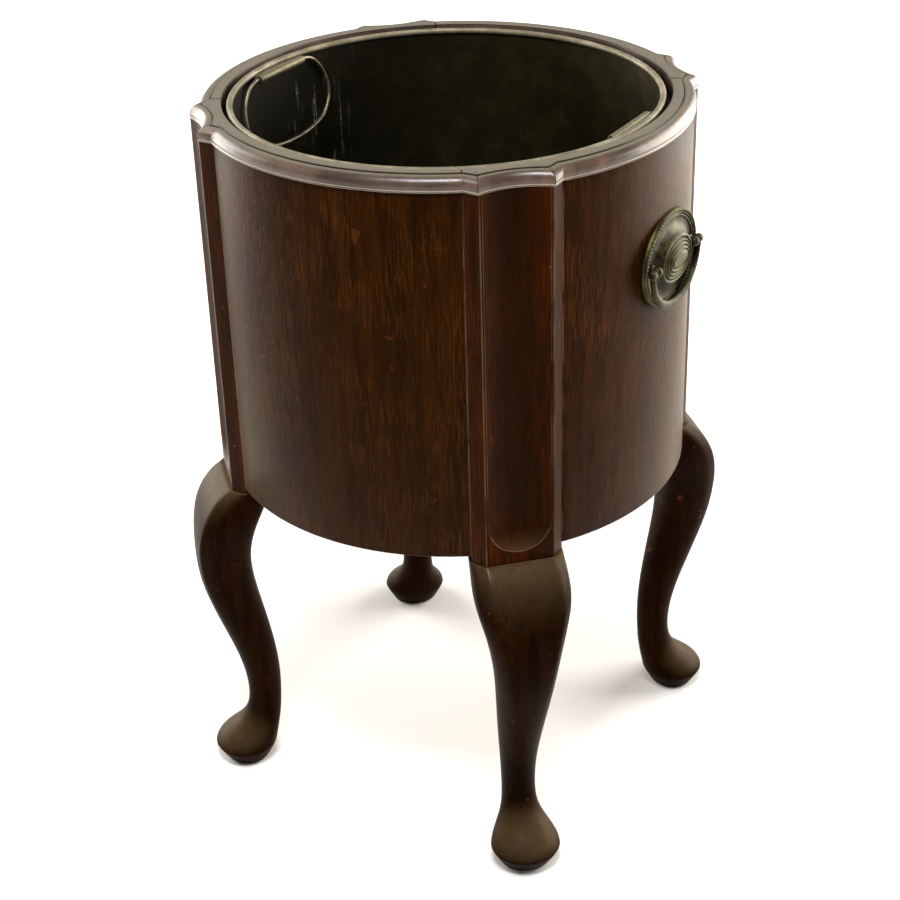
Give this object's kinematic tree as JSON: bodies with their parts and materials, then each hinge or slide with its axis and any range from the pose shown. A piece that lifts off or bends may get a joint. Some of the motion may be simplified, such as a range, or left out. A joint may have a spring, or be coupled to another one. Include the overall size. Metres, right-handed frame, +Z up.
{
  "type": "cellarette",
  "caption": "Round wooden wine cooler on cabriole legs, with hollow-fronted pilasters, a moulded rim, drop handles and a loose brass liner that lifts out by wire bails.",
  "frame": {"origin": "On the floor, under the tub's axis, midway between the four feet", "axes": "+Z up; -Y is the front panel that faces the viewer; +X points to the panel whose drop handle shows in the picture"},
  "size_m": [0.392, 0.3728, 0.5822],
  "materials": {
    "mahogany": "old polished mahogany with fine vertical grain",
    "rim_mahogany": "rubbed and polished mahogany with worn highlights",
    "pine": "raw dry pine",
    "liner_brass": "dull tarnished sheet brass",
    "handle_brass": "aged brass, brighter on raised edges",
    "steel": "dull blued screws"
  },
  "bodies": {
    "tub": {"bottom_board": "pine", "panel_right": "mahogany", "panel_back": "mahogany", "panel_left": "mahogany", "panel_front": "mahogany", "pilaster_front_right": "mahogany", "pilaster_rear_right": "mahogany", "pilaster_rear_left": "mahogany", "pilaster_front_left": "mahogany", "leg_front_right": "mahogany", "leg_rear_right": "mahogany", "leg_rear_left": "mahogany", "leg_front_left": "mahogany", "leg_screw_front_right": "steel", "leg_screw_rear_right": "steel", "leg_screw_rear_left": "steel", "leg_screw_front_left": "steel", "rim_moulding_right": "rim_mahogany", "rim_moulding_back": "rim_mahogany", "rim_moulding_left": "rim_mahogany", "rim_moulding_front": "rim_mahogany", "rim_break_front_right": "rim_mahogany", "rim_break_rear_right": "rim_mahogany", "rim_break_rear_left": "rim_mahogany", "rim_break_front_left": "rim_mahogany", "rim_band_front_right": "rim_mahogany", "rim_band_rear_right": "rim_mahogany", "rim_band_rear_left": "rim_mahogany", "rim_band_front_left": "rim_mahogany", "handle_plate_right": "handle_brass", "handle_plate_left": "handle_brass", "handle_post_right_front": "handle_brass", "handle_post_right_rear": "handle_brass", "handle_post_left_front": "handle_brass", "handle_post_left_rear": "handle_brass", "handle_nut_right_front": "handle_brass", "handle_nut_right_rear": "handle_brass", "handle_nut_left_front": "handle_brass", "handle_nut_left_rear": "handle_brass"},
    "liner": {"liner": "liner_brass", "liner_tube_right": "liner_brass", "liner_tube_left": "liner_brass"},
    "bail_right": {"liner_bail_right": "liner_brass"},
    "bail_left": {"liner_bail_left": "liner_brass"},
    "drop_right": {"handle_drop_right": "handle_brass"},
    "drop_left": {"handle_drop_left": "handle_brass"}
  },
  "joints": [
    {"name": "liner_lift", "type": "slide", "parent": "tub", "child": "liner", "axis": [0, 0, 1], "range_m": [0, 0.3]},
    {"name": "liner_bail_right", "type": "hinge", "parent": "liner", "child": "bail_right", "pos_m": [0.15335, -0.00308, 0.5768], "axis": [0, 1, 0], "range_deg": [0, 155]},
    {"name": "liner_bail_left", "type": "hinge", "parent": "liner", "child": "bail_left", "pos_m": [-0.15113, -0.00308, 0.5768], "axis": [0, -1, 0], "range_deg": [0, 155]},
    {"name": "handle_drop_right", "type": "hinge", "parent": "tub", "child": "drop_right", "pos_m": [0.1915, 0, 0.4834], "axis": [0, -1, 0], "range_deg": [0, 175]},
    {"name": "handle_drop_left", "type": "hinge", "parent": "tub", "child": "drop_left", "pos_m": [-0.1915, 0, 0.4834], "axis": [0, 1, 0], "range_deg": [0, 175]}
  ]
}
